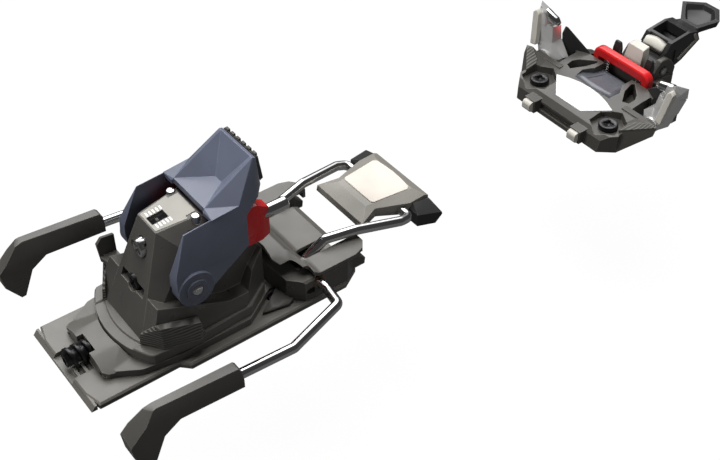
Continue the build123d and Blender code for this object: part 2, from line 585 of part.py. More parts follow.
# ---------------------------------------------------------------- climbing lever
def climb_lever():
    """Faceted fork: two legs on the tower's sides and a scooped bridge over its top."""
    leg = hull([
        (-18.6, -19.6, 40), (-18.2, -25.6, 40), (-18.4, -19.6, 46), (-18.0, -24.8, 47),
        (-9.8, -19.6, 64.4), (-9.6, -20.0, 64.2), (-5.0, -23.2, 53.5),
        (17.5, -19.6, 66.6), (20.0, -19.6, 62.0), (20.5, -21.0, 60.0),
        (21.0, -19.6, 45.0), (18.9, -23.8, 46.0), (-3.0, -26.0, 34), (-3.0, -19.6, 34),
        (-14.0, -26.0, 32), (-14.0, -19.6, 32),
    ])
    hub = rod(8.7, (LEVER_X, -26.0, LEVER_Z), (LEVER_X, -19.6, LEVER_Z))
    boss = rod(5.2, (LEVER_X, -26.8, LEVER_Z), (LEVER_X, -19.6, LEVER_Z))
    slab = hull(sym([(5.0, 12.9, 66.4), (5.0, 12.9, 63.6), (4.0, 20.2, 65.4), (4.0, 20.0, 60.0),
                     (17.5, 20.4, 66.6), (20.5, 21.0, 60.0), (20.0, 19.8, 58.0), (33.0, 13.0, 65.6),
                     (30.0, 15.5, 62.0)]))
    blade = hull(sym([(5.0, 12.7, 66.4), (5.0, 12.7, 65.0), (17.5, 20.4, 66.6), (20.5, 21.0, 60.0),
                      (30.0, 13.0, 82.0), (31.6, 13.2, 81.4), (33.2, 13.0, 66.0), (30.0, 15.5, 62.0)]))
    scoop = hull(sym([(5.0, 12.7, 66.4), (20.0, 2.4, 66.6), (26.4, 10.3, 80.0), (30.0, 11.6, 82.0),
                      (30.0, 11.6, 96), (5.0, 12.7, 96)]))
    opening = prism(sym_plan([(-30, 19.4), (-9.6, 19.4), (5.0, 12.7)]), "z", 50, 90)
    under = hull(sym([(-40, 19.4, 20), (-40, 19.4, 63.4), (16, 19.4, 63.4), (22, 17.8, 60), (29.4, 16.6, 58),
                      (29.4, 16.6, 20)]))
    body = slab + blade
    for part in both(leg + hub + boss):
        body += part
    body = body - scoop - opening - under
    for part in both(rod(LEVER_AXLE_R + RUN, (LEVER_X, -30, LEVER_Z), (LEVER_X, -15, LEVER_Z))):
        body -= part
    return body


def riser_pad():
    """Dark tread on the lever's front edge, toothed along the top."""
    body = hull(sym([(31.9, 12.6, 81.6), (33.2, 12.6, 81.0), (35.0, 12.6, 68.4), (33.5, 12.6, 67.6)]))
    for i in range(6):
        y = -10.5 + i * 4.2
        body += block(32.2, 33.4, y - 1.2, y + 1.2, 78, 82.2)
    return body - climb_lever()


def lever_axle():
    """Right-hand axle of the climbing lever with a domed head."""
    shaft = rod(LEVER_AXLE_R, (LEVER_X, -27.4, LEVER_Z), (LEVER_X, -13, LEVER_Z))
    return fillet(shaft.edges().sort_by(Axis.Y)[:1], 1.2)


# ---------------------------------------------------------------- toe unit
def toe_base():
    """Plastic base of the toe unit: a sloping deck, two side ramps and lugs for the wing axles."""
    body = prism(at_toe([(-34, 0), (-33.0, 7.6), (-29.5, 10.2), (-14, 12.8), (2, 15.4), (13, 15.9),
                         (20, 13.0), (24, 10.0), (46, 8.0), (48, 0)]), "y", -38, 38)
    body &= prism(at_toe(sym_plan([(-34, 31), (-26, 37.8), (-9.6, 35.0), (-9.0, 31.0), (-1.2, 28.5),
                                   (9.5, 30.4), (15, 28), (30, 27), (34, 22), (35, 13.2), (46, 12.4),
                                   (48, 9)])), "z", 0, 30)
    ramp = hull(at_toe([(-31, -30, 0), (-26, -37.8, 0), (-8, -36, 0), (-30, -29, 9.6), (-25, -34, 12.2),
                        (-10.6, -49.7, 16.6), (-12.5, -49.6, 12.0), (-9.6, -46.0, 16.8), (-9.6, -47, 12),
                        (-9.6, -34, 13.4), (-9.6, -34, 0)]))
    for part in both(ramp):
        body += part
    for low, high in ((-9.6, -6.0), (8.6, 12.6)):
        lug = block(TOE_X + low, TOE_X + high, -44.2, -24, WING_Z - 3.4, WING_Z + 3.3)
        for part in both(lug):
            body += part
    # room for the wings
    for part in both(block(TOE_X - 6.0, TOE_X + 8.6, -60, -28.0, -1, 40)):
        body -= part
    for part in both(rod(WING_AXLE_R + RUN, (TOE_X - 9.0, -WING_Y, WING_Z), (TOE_X + 30, -WING_Y, WING_Z))):
        body -= part
    # hexagonal pockets around the rear screws, round ones for the front pair
    for side in (-1, 1):
        y = side * TOE_SCREW_Y
        body -= Pos(TOE_SCREW_X, y, 8.4) * extrude(RegularPolygon(TOE_POCKET_R, 6), 20)
        body -= rod(SCREW_R + RUN, (TOE_SCREW_X, y, -1), (TOE_SCREW_X, y, 20))
        y = side * TOE_FRONT_SCREW_Y
        body -= rod(6.2, (TOE_FRONT_SCREW_X, y, 6.0), (TOE_FRONT_SCREW_X, y, 30))
        body -= rod(SCREW_R + RUN, (TOE_FRONT_SCREW_X, y, -1), (TOE_FRONT_SCREW_X, y, 20))
    # seats of the badge and the window, slots beside the window, channel of the trigger bar
    body -= badge_solid(-0.9, 5)
    body -= prism(WINDOW_OUTLINE, "z", 8.0, 30)
    for part in both(prism(SLOT_OUTLINE, "z", 8.0, 40)):
        body -= part
    body -= block(TOE_X + BAR_REAR - 0.8, TOE_X + BAR_FRONT + 0.8, -BAR_HALF - 1.2, BAR_HALF + 1.2, 2.4, 40)
    # crampon sockets in sleeves on the rear face, and the recess between them
    for part in both(block(TOE_X - 37.6, TOE_X - 30, -21.4, -13.6, 1.0, 8.6)):
        body += part
    for part in both(block(TOE_X - 38, TOE_X - 28, -20.6, -14.4, 1.8, 8.0)):
        body -= part
    body -= block(TOE_X - 35, TOE_X - 31.6, -13.5, 13.5, 2.5, 6.5)
    # lever trough, and the seats of the parts let into the deck
    body -= block(TOE_X + 22, TOE_X + 60, -8.9, 8.9, 5.0, 40)
    for part in both(block(TOE_X + 27.95, TOE_X + 46.7, -12.65, -8.0, 7.5, 30) + boot_stop()):
        body -= part
    for part in both(toe_side_pad()) + both(wing_cover()):
        body -= part
    return body


def badge_solid(low, high):
    """The badge's outline between two heights over the sloping deck."""
    rear = 10.12
    front = 14.49
    layer = at_toe([(-30, rear + low), (-5, front + low), (-5, front + high), (-30, rear + high)])
    return prism(BADGE_OUTLINE, "z", 0, 40) & prism(layer, "y", -40, 40)


def toe_badge():
    return badge_solid(-0.85, 0.3)


def toe_window():
    """Moulded panel that slopes down towards the trigger bar, with a smooth centre set into it."""
    slope = prism(at_toe([(-9, 8.0), (13, 8.0), (13, 11.2), (-9, 14.4)]), "y", -20, 20)
    body = prism(WINDOW_OUTLINE, "z", 8.05, 30) & slope
    centre = prism(at_toe([(-3.5, -8.4), (10, -6.6), (10, 6.6), (-3.5, 8.4)]), "z", 8, 40)
    body -= centre & prism(at_toe([(-9, 13.8), (13, 10.6), (13, 20), (-9, 20)]), "y", -20, 20)
    return body


def crampon_sockets():
    """Two rounded metal ends that take a ski crampon, and the bar between them."""
    stub = block(TOE_X - 40.5, TOE_X - 28.2, -20.4, -14.6, 2.0, 7.8)
    stub = fillet(stub.edges().filter_by(Axis.Y), 1.9)
    return both(stub)


def toe_side_pad():
    """Right-hand textured pad on the side ramp, cut clear of the screw's pocket."""
    body = hull(at_toe([(-29.6, -29.5, 10.05), (-25, -34.4, 12.45), (-11.2, -49.4, 16.85),
                        (-10.0, -45.8, 17.1), (-14, -37.6, 14.9), (-24.5, -29.0, 11.6), (-20, -35, 12.4)]))
    body -= Pos(TOE_SCREW_X, -TOE_SCREW_Y, 0) * extrude(RegularPolygon(TOE_POCKET_R, 6), 30)
    return body.solids().sort_by(SortBy.VOLUME)[-1]


def wing():
    """Right-hand chromed wing, drawn open: a barrel, an inner toe under the deck's edge and a head."""
    barrel = rod(4.4, (TOE_X - 5.8, -WING_Y, WING_Z), (TOE_X + 8.3, -WING_Y, WING_Z))
    foot = hull(at_toe([(-5.6, -41.0, 12.5), (-5.6, -44.0, 8.5), (0.4, -31.1, 13.0), (-1.9, -38.8, 20.0),
                        (-4.8, -47.5, 18.5), (4.8, -31.0, 12.0), (4.8, -32.0, 7.5), (-5.0, -36.0, 7.5),
                        (4.8, -49.0, 18.0), (4.8, -45.6, 8.0), (4.8, -38.0, 21.0)]))
    body = hull(at_toe([(-2.0, -38.8, 19.9), (-4.8, -48.0, 18.0), (-1.0, -40.4, 29.5), (-4.6, -48.5, 30.5),
                        (4.8, -38.0, 20.0), (4.8, -39.6, 29.0), (4.8, -50.0, 19.0), (4.6, -53.5, 30.5)]))
    head = hull(at_toe([(-3.6, -44.0, 29.5), (-3.6, -45.6, 38.0), (-2.6, -50.0, 39.8), (3.0, -54.6, 38.5),
                        (5.0, -53.6, 31.0), (4.8, -41.5, 29.0), (3.5, -45.0, 35.5), (-4.0, -50.5, 31.0)]))
    solid = barrel + foot + body + head
    solid -= rod(WING_AXLE_R + RUN, (TOE_X - 20, -WING_Y, WING_Z), (TOE_X + 30, -WING_Y, WING_Z))
    solid -= toe_pin()
    solid -= wing_arm()
    return solid


def wing_arm():
    """Right-hand satin arm behind the wing, leaning forward and outward to the root of the pin."""
    return hull(at_toe([(-8.6, -45.4, 17.6), (-8.8, -49.3, 17.0), (-5.9, -48.0, 36.0), (-5.8, -50.0, 38.0),
                        (-5.9, -52.2, 36.2), (-5.4, -45.4, 17.6), (-5.6, -49.3, 17.0), (-2.7, -48.0, 36.0),
                        (-2.6, -50.0, 38.0), (-2.7, -52.2, 36.2)]))


def toe_pin():
    """Right-hand toe pin with a conical tip; with the wing open it points down and inwards."""
    tip = Vector(TOE_X, -PIN_TIP_Y, PIN_TIP_Z)
    way = Vector(0, -math.cos(PIN_TILT), math.sin(PIN_TILT))
    plane = Plane(origin=tip, z_dir=way)
    cone = plane * Cone(1.4, TOE_PIN_R, 2.8, align=(Align.CENTER, Align.CENTER, Align.MIN))
    return cone + rod(TOE_PIN_R, tip + way * 2.8, tip + way * 11.0)


def wing_axles():
    return both(rod(WING_AXLE_R, (TOE_X - 8.9, -WING_Y, WING_Z), (TOE_X + 12.9, -WING_Y, WING_Z)))


def wing_cover():
    """Right-hand dark guard in front of the wing that runs down to the deck."""
    guard = hull(at_toe([(5.4, -37.0, 12.0), (5.4, -38.6, 24.0), (7.4, -36.6, 28.2), (12.6, -21.9, 16.4),
                         (17.6, -25.5, 10.6), (18.0, -31.5, 8.2), (11.0, -38.5, 22.0), (8.6, -39.5, 27.0),
                         (6.0, -34.0, 9.0), (14.0, -36.0, 9.0), (9.0, -28.0, 12.0)]))
    guard -= rod(4.9, (TOE_X, -WING_Y, WING_Z), (TOE_X + 8.6, -WING_Y, WING_Z))
    guard -= block(TOE_X + 8.5, TOE_X + 13.1, -60, -33.2, 0, WING_Z + 3.7)
    guard -= block(TOE_X + BAR_REAR - 0.8, TOE_X + BAR_FRONT + 0.8, -BAR_HALF - 1.2, 0, 0, 40)
    return guard


def trigger_bar():
    """Red bar across the deck that the boot presses down; its feet go into the base."""
    x0 = TOE_X + BAR_REAR
    x1 = TOE_X + BAR_FRONT
    bar = block(x0, x1, -BAR_HALF, BAR_HALF, 9.0, 22.6)
    bar = fillet(bar.edges().filter_by(Axis.X).sort_by(Axis.Z)[-2:], 5.0)
    bar = fillet(bar.faces().sort_by(Axis.Z)[-1].edges().filter_by(Axis.Y), 1.5)
    return bar - block(x0 - 1, x1 + 1, -BAR_HALF + 4.4, BAR_HALF - 4.4, 0, 17.4)


def trigger_springs():
    middle = TOE_X + (BAR_REAR + BAR_FRONT) / 2
    coils = coil(1.5, 0.45, (middle, -12.0, 6.0), (middle, -12.0, 16.9), 8)
    return coils + [mirrored(ring) for ring in coils]


def toe_lever():
    """Dark lever that locks the wings: an open channel on the axle, a neck and a dished cup."""
    side = at_toe([(32.0, 8.4), (38.0, 7.4), (48.0, 9.0), (55.0, 11.4), (68.4, 20.0), (65.0, 26.6),
                   (58.0, 28.2), (43.0, 26.6), (38.0, 18.4), (32.6, 17.6)])
    body = prism(side, "y", -9.4, 9.4)
    body = facets(body, [((38, -8.6, 18), (44, -9.8, 26), (34, -8.6, 10))], (LOCK_X, 0, 14))
    inner = at_toe([(46.0, 31.0), (46.0, 20.0), (52.0, 17.4), (60.0, 21.4), (60.5, 31.0)])
    body -= prism(inner, "y", -7.6, 7.6)
    body -= prism(at_toe([(26, 20.0), (44.0, 19.6), (44.0, 40.0), (26, 40.0)]), "y", -6.6, 6.6)
    body -= prism(at_toe([(28, 0), (46, 0), (46, 11), (28, 17)]), "y", -6.0, 6.0)
    neck = hull(at_toe(sym([(58.0, 7.6, 28.0), (58.0, 8.6, 22.0), (67.6, 5.5, 24.9), (68.0, 6.0, 19.8),
                            (66.0, 7.6, 25.6), (74.0, 6.0, 24.6), (74.0, 6.0, 22.6)])))
    cup = hull(at_toe(sym([(67.6, 5.5, 24.9), (77.5, 13.8, 30.6), (88.1, 5.0, 30.0), (68.6, 5.5, 21.6),
                           (77.5, 12.4, 26.2), (86.5, 4.5, 26.0)])))
    dish = hull(at_toe(sym([(69.2, 4.7, 27.2), (77.3, 11.8, 31.8), (86.0, 4.2, 31.4), (71.5, 3.6, 25.2),
                            (76.5, 8.6, 27.6), (83.6, 3.2, 27.6), (76.0, 9.0, 36.0)])))
    body = body + neck + cup - dish
    for part in both(prism(RAIL_SIDE, "y", -12, -9.1)):
        body -= part
    body -= rod(2.5 + RUN, (LOCK_X, -20, LOCK_Z), (LOCK_X, 20, LOCK_Z))
    # the cheeks narrow below so that they turn between the brackets
    for part in both(block(TOE_X + 26, TOE_X + 48.4, -20, -8.7, 0, 21)):
        body -= part
    return body


def lever_insert():
    """Bright steel insert in the lever's channel that runs onto the cam plate."""
    return hull(at_toe(sym([(38.2, 6.5, 20.1), (43.9, 6.5, 20.1), (43.9, 6.5, 24.6), (40.5, 6.5, 25.6),
                            (38.2, 6.5, 23.0), (40.6, 2.0, 26.2), (43.9, 2.0, 25.6)])))


def lever_rails():
    """Light edge strips on the lever's cheeks."""
    return both(prism(RAIL_SIDE, "y", -9.8, -9.1))


def lock_axle():
    return rod(2.5, (LOCK_X, -12.9, LOCK_Z), (LOCK_X, 12.9, LOCK_Z))


def lock_bracket():
    """Two upright cheeks on the base that hold the lever's axle."""
    cheek = prism(at_toe([(28, 9.2), (46, 7.6), (46.6, 12), (42.6, 17.6), (38.6, 20.4), (33, 20.4),
                          (28, 14)]), "y", -12.6, -9.0)
    cheek -= rod(2.5 + RUN, (LOCK_X, -20, LOCK_Z), (LOCK_X, 0, LOCK_Z))
    return both(cheek)


def lock_plate():
    """Bright cam plate between the trigger bar and the lever."""
    return hull(at_toe(sym([(22.5, 6.4, 5.1), (22.2, 6.4, 16.0), (24.4, 5.6, 27.4), (30.0, 5.0, 27.8),
                            (29.4, 6.4, 17.0), (29.5, 6.4, 5.1)])))


def boot_stop():
    """Right-hand dark rounded stop that guides the boot's toe."""
    return prism(at_toe([(21.2, 8), (25.0, 8), (25.8, 21), (24.6, 25.4), (22.8, 25.4), (21.4, 21)]), "y",
                 -14.2, -9.6)


# ---------------------------------------------------------------- write the nodes
def build():
    heel_screw_places = [(x, y) for x in (-SCREW_X, SCREW_X) for y in (-SCREW_Y, SCREW_Y)]
    save("heel_base_plate", heel_base_plate())
    save("heel_screws", [ski_screw(x, y, 3.4, 5.2) for x, y in heel_screw_places])
    housing = brake_housing()
    save("brake_housing", housing)
    save("housing_feet", both(housing_foot(housing)))
    save("brake_cover", brake_cover())
    save("brake_spring", brake_spring())
    save("brake_bushes", brake_bushes())
    save("brake_wire_right", brake_wire())
    save("brake_wire_left", mirrored(brake_wire()))
    save("brake_pad_right", brake_pad())
    save("brake_pad_left", mirrored(brake_pad()))
    save("treadle", treadle())
    save("treadle_pad", treadle_pad())
    save("treadle_lugs", both(treadle_lug()))
    save("slide_carriage", slide_carriage())
    save("adjust_worm", adjust_worm())
    save("turret_spindle", turret_spindle())
    save("turret_flange", turret_flange())
    save("turret_housing", turret_housing())
    save("scale_plate", scale_plate())
    save("scale_window", scale_window())
    save("scale_pointer", scale_pointer())
    save("vertical_screw", release_screw(V_SCREW_Z, -22.6, 4.6, 3.4))
    save("lateral_screw", release_screw(L_SCREW_Z, -27.0, 4.0, 3.6))
    save("vertical_spring", coil(3.4, 0.6, (-18.4, 0, V_SCREW_Z), (-12.3, 0, V_SCREW_Z), 5))
    save("lateral_spring", coil(2.9, 0.6, (-22.6, 0, L_SCREW_Z), (-8.4, 0, L_SCREW_Z), 8))
    save("vertical_plunger", vertical_plunger())
    save("lateral_plunger", lateral_plunger())
    save("heel_pin_carrier_right", heel_pin_carrier())
    save("heel_pin_carrier_left", mirrored(heel_pin_carrier()))
    save("heel_pin_right", heel_pin())
    save("heel_pin_left", mirrored(heel_pin()))
    save("pin_axles", pin_axles())
    save("side_grips", both(side_grip()))
    save("climb_lever", climb_lever())
    save("riser_pad", riser_pad())
    save("lever_axles", both(lever_axle()))
    save("toe_base", toe_base())
    save("toe_screws", [ski_screw(TOE_SCREW_X, side * TOE_SCREW_Y, 11.2) for side in (-1, 1)]
         + [ski_screw(TOE_FRONT_SCREW_X, side * TOE_FRONT_SCREW_Y, 8.6) for side in (-1, 1)])
    save("toe_badge", toe_badge())
    save("toe_window", toe_window())
    save("crampon_sockets", crampon_sockets())
    save("toe_side_pads", both(toe_side_pad()))
    save("toe_wing_right", wing())
    save("toe_wing_left", mirrored(wing()))
    save("wing_arm_right", wing_arm())
    save("wing_arm_left", mirrored(wing_arm()))
    save("toe_pin_right", toe_pin())
    save("toe_pin_left", mirrored(toe_pin()))
    save("wing_axles", wing_axles())
    save("wing_covers", both(wing_cover()))
    save("trigger_bar", trigger_bar())
    save("trigger_springs", trigger_springs())
    save("toe_lever", toe_lever())
    save("lever_insert", lever_insert())
    save("lever_rails", lever_rails())
    save("lock_axle", lock_axle())
    save("lock_bracket", lock_bracket())
    save("lock_plate", lock_plate())
    save("boot_stops", both(boot_stop()))


build()
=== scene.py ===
import json
import math

import bpy
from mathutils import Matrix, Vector


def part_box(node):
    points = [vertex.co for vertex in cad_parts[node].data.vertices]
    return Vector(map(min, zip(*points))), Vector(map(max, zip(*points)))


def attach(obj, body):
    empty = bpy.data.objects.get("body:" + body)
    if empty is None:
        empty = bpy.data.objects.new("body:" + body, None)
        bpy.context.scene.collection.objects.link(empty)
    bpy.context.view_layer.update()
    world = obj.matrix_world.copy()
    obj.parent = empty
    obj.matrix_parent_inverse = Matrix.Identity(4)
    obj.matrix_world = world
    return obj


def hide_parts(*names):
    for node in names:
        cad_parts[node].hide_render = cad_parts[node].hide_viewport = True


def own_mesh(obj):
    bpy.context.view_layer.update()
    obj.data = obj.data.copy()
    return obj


# The pin ski touring binding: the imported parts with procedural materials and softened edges, paint in
# the release scale and wound springs. Metres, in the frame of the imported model.
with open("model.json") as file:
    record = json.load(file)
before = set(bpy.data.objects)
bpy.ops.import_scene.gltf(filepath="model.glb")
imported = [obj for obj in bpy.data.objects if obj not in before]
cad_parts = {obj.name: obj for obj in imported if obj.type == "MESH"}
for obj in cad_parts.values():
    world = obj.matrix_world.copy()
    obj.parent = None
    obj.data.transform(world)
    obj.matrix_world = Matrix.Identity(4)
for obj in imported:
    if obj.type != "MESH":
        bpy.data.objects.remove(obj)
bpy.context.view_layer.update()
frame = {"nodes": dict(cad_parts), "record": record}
nodes = frame["nodes"]
MM = 0.001

# surface detail
GRAIN_DEPTH = 0.06 * MM
SCRATCH_DEPTH = 0.04 * MM
GLOSS_WAVE_DEPTH = 0.1 * MM
EDGE_RADIUS = 0.5 * MM      # rounding of edges in the shading
EDGE_HIGHLIGHT_RADIUS = 0.6 * MM      # width of the painted highlight along edges
SHARP_ANGLE = 24            # edges sharper than this many degrees are rounded
WELD_DISTANCE = 0.002 * MM

# paint in the release scale, in millimetres
TICK_COUNT = 5
TICK_PITCH = 1.7
TICK_X = -14.2              # rear edge of the first tick
TICK_SIZE = (0.8, 2.6, 0.22)
TICK_INNER = 3.2            # distance of the ticks from the ski axis
PLATE_REAR = (-20, 60.06)   # two points (x, z) on the tower's sloping top face
PLATE_FRONT = (8, 62.67)
BOX_CORNERS = [(x, y, z) for z in (0, 1) for y in (0, 1) for x in (0, 1)]
BOX_FACES = ((0, 2, 3, 1), (4, 5, 7, 6), (0, 1, 5, 4), (2, 6, 7, 3), (0, 4, 6, 2), (1, 3, 7, 5))

# springs: coil radius, wire radius and turns
TRIGGER_COIL = (1.5 * MM, 0.35 * MM, 7)
RELEASE_COIL = (3.3 * MM, 0.5 * MM, 5)
SPRING_STEPS = 20           # steps per turn
SPRING_SIDES = 8            # sides of the wire

# studio
FLOOR_Z = -0.0855
FLOOR_SIZE = 60
FLOOR_WHITE = 1.0           # the floor's glow for the camera
FLOOR_SHADOW = 0.03         # share of the floor's own shading, which takes the shadows
FLOOR_MIRRORED = 0.10       # its glow in polished metal
FLOOR_DIFFUSE = 0.10        # its glow on matt surfaces
PANEL_DIRECTION = (0.30, 0.56, 0.77)                        # towards the soft panel behind the binding
PANEL_GLOW = ((0.80, 0.04), (0.90, 1.0), (0.96, 3.5))       # against the cosine of the angle to it
LIGHT_TARGET = (0.12, 0, 0.03)
LIGHTS = (                  # name, place, size and power
    ("overhead", (0.15, 0.15, 1.0), (0.5, 0.5), 13),
    ("key", (-0.80, 0.25, 0.60), (0.35, 0.35), 6),
    ("fill", (0.1, -1.1, 0.55), (0.8, 0.5), 2.8),
)
CAMERA_PLACE = (-0.17051, -0.35349, 0.39516)
CAMERA_YAW = 52.8745        # degrees from the ski's axis towards its left
CAMERA_PITCH = 42.073       # degrees down
CAMERA_LENS = 59.33         # millimetres, on a sensor 36 mm wide


# ---------------------------------------------------------------- material building
def new_material(name):
    """A node material with its tree and its Principled shader."""
    material = bpy.data.materials.new(name)
    material.use_nodes = True
    tree = material.node_tree
    return material, tree, tree.nodes["Principled BSDF"]


def noise(tree, scale, detail=4.0, roughness=0.55, stretch=(1, 1, 1)):
    """Noise in object space, so that it stays on its part at every pose."""
    coords = tree.nodes.new("ShaderNodeTexCoord")
    mapping = tree.nodes.new("ShaderNodeMapping")
    mapping.inputs["Scale"].default_value = stretch
    texture = tree.nodes.new("ShaderNodeTexNoise")
    texture.inputs["Scale"].default_value = scale
    texture.inputs["Detail"].default_value = detail
    texture.inputs["Roughness"].default_value = roughness
    tree.links.new(coords.outputs["Object"], mapping.inputs["Vector"])
    tree.links.new(mapping.outputs["Vector"], texture.inputs["Vector"])
    return texture.outputs["Fac"]


def ramp(tree, factor, low, high, low_at=0.35, high_at=0.65):
    """A two-stop ramp over a factor; low and high are greys or colours."""
    node = tree.nodes.new("ShaderNodeValToRGB")
    stops = node.color_ramp.elements
    stops[0].position = low_at
    stops[1].position = high_at
    stops[0].color = (*as_colour(low), 1)
    stops[1].color = (*as_colour(high), 1)
    tree.links.new(factor, node.inputs["Fac"])
    return node.outputs["Color"]


def grey_ramp(tree, factor, stops):
    """A ramp of greys; each stop is a position and a grey."""
    node = tree.nodes.new("ShaderNodeValToRGB")
    elements = node.color_ramp.elements
    while len(elements) < len(stops):
        elements.new(0.5)
    for element, (position, grey) in zip(elements, stops):
        element.position = position
        element.color = (grey, grey, grey, 1)
    tree.links.new(factor, node.inputs["Fac"])
    return node.outputs["Color"]


def value_mix(tree, factor, low, high):
    """low where the factor is 0 and high where it is 1; each is a number or a socket."""
    node = tree.nodes.new("ShaderNodeMix")
    node.data_type = "FLOAT"
    for socket, value in (("Factor", factor), ("A", low), ("B", high)):
        if isinstance(value, (int, float)):
            node.inputs[socket].default_value = value
        else:
            tree.links.new(value, node.inputs[socket])
    return node.outputs["Result"]


def as_colour(value):
    return value if isinstance(value, tuple) else (value, value, value)


def scaled(colour, share, lift=0.0):
    """A colour made darker or paler, at most white."""
    return tuple(min(1, c * share + lift) for c in colour)


def bevel_normal(tree, radius):
    """A normal that turns smoothly across sharp edges."""
    bevel = tree.nodes.new("ShaderNodeBevel")
    bevel.samples = 4
    bevel.inputs["Radius"].default_value = radius
    return bevel.outputs["Normal"]


def bumps(tree, shader, height, strength, distance, edge_radius=EDGE_RADIUS):
    """Surface relief over rounded edges: a Bevel node feeds the Bump node."""
    bump = tree.nodes.new("ShaderNodeBump")
    bump.inputs["Strength"].default_value = strength
    bump.inputs["Distance"].default_value = distance
    tree.links.new(height, bump.inputs["Height"])
    tree.links.new(bevel_normal(tree, edge_radius), bump.inputs["Normal"])
    tree.links.new(bump.outputs["Normal"], shader.inputs["Normal"])


def painted_edge_highlight(tree, base, highlight_colour, amount):
    """Mixes a paler colour in along sharp edges as a painted highlight, where a Bevel normal leaves the true
    one.
    """
    geometry = tree.nodes.new("ShaderNodeNewGeometry")
    dot = tree.nodes.new("ShaderNodeVectorMath")
    dot.operation = "DOT_PRODUCT"
    tree.links.new(bevel_normal(tree, EDGE_HIGHLIGHT_RADIUS), dot.inputs[0])
    tree.links.new(geometry.outputs["Normal"], dot.inputs[1])
    spread = tree.nodes.new("ShaderNodeMapRange")
    spread.inputs["From Min"].default_value = 0.995
    spread.inputs["From Max"].default_value = 0.86
    spread.inputs["To Max"].default_value = amount
    tree.links.new(dot.outputs["Value"], spread.inputs["Value"])
    mix = tree.nodes.new("ShaderNodeMix")
    mix.data_type = "RGBA"
    tree.links.new(spread.outputs["Result"], mix.inputs["Factor"])
    tree.links.new(base, mix.inputs["A"])
    mix.inputs["B"].default_value = (*highlight_colour, 1)
    return mix.outputs["Result"]


def plastic(name, colour, roughness=0.45, grain=0.25, highlight_gain=1.9, highlight_amount=0.35, coat=0.0, grain_scale=2600):
    """Moulded plastic: fine spark-eroded grain, slight colour drift, and a painted highlight along sharp
    edges.
    """
    material, tree, shader = new_material(name)
    base = ramp(tree, noise(tree, 28, 3), scaled(colour, 0.88), scaled(colour, 1.12))
    # painted highlight: a paler colour along the sharp edges
    highlight_colour = scaled(colour, highlight_gain, 0.02)
    tree.links.new(painted_edge_highlight(tree, base, highlight_colour, highlight_amount), shader.inputs["Base Color"])
    polish = ramp(tree, noise(tree, 90, 5), roughness * 0.88, min(1, roughness * 1.14))
    tree.links.new(polish, shader.inputs["Roughness"])
    shader.inputs["Coat Weight"].default_value = coat
    shader.inputs["Coat Roughness"].default_value = 0.2
    bumps(tree, shader, noise(tree, grain_scale, 2), grain, GRAIN_DEPTH)
    return material


def metal(name, colour, roughness=0.2, brushed=(1, 1, 1)):
    """Bare metal with fine scratches along one direction and uneven polish."""
    material, tree, shader = new_material(name)
    shader.inputs["Metallic"].default_value = 1.0
    tree.links.new(ramp(tree, noise(tree, 60), scaled(colour, 0.93), colour), shader.inputs["Base Color"])
    scratches = noise(tree, 700, 5, 0.6, brushed)
    polish = ramp(tree, scratches, roughness * 0.75, min(1, roughness * 1.4))
    tree.links.new(polish, shader.inputs["Roughness"])
    bumps(tree, shader, scratches, 0.12, SCRATCH_DEPTH, 0.4 * MM)
    return material


def ribbed(name, colour, axis, period, depth, roughness=0.5, waviness=5.0):
    """Soft plastic with moulded wavy ribs across one axis, painted shade in their grooves and a painted
    highlight along sharp edges.
    """
    material, tree, shader = new_material(name)
    coords = tree.nodes.new("ShaderNodeTexCoord")
    wave = tree.nodes.new("ShaderNodeTexWave")
    wave.wave_type = "BANDS"
    wave.bands_direction = axis
    wave.inputs["Scale"].default_value = math.tau / 20 / period     # the node packs 20 / tau bands in a unit
    wave.inputs["Distortion"].default_value = waviness
    wave.inputs["Detail"].default_value = 1.0
    wave.inputs["Detail Scale"].default_value = 0.35
    tree.links.new(coords.outputs["Object"], wave.inputs["Vector"])
    # painted shade: the colour is darker in the grooves between the ribs
    groove_shade = ramp(tree, wave.outputs["Fac"], scaled(colour, 0.45), colour, 0.1, 0.7)
    # painted highlight along the sharp edges of the ribs
    highlight_colour = scaled(colour, 2.2, 0.02)
    tree.links.new(painted_edge_highlight(tree, groove_shade, highlight_colour, 0.4), shader.inputs["Base Color"])
    polish = ramp(tree, noise(tree, 300), roughness * 0.85, roughness * 1.1)
    tree.links.new(polish, shader.inputs["Roughness"])
    bumps(tree, shader, wave.outputs["Fac"], 0.9, depth, 0.4 * MM)
    return material


def glossy(name, colour, roughness=0.12):
    """Smooth gloss panel with faint waviness."""
    material, tree, shader = new_material(name)
    tree.links.new(ramp(tree, noise(tree, 50, 2), scaled(colour, 0.95), colour), shader.inputs["Base Color"])
    polish = ramp(tree, noise(tree, 220), roughness * 0.8, roughness * 1.6)
    tree.links.new(polish, shader.inputs["Roughness"])
    shader.inputs["Coat Weight"].default_value = 0.5
    bumps(tree, shader, noise(tree, 160, 2), 0.05, GLOSS_WAVE_DEPTH, 0.4 * MM)
    return material
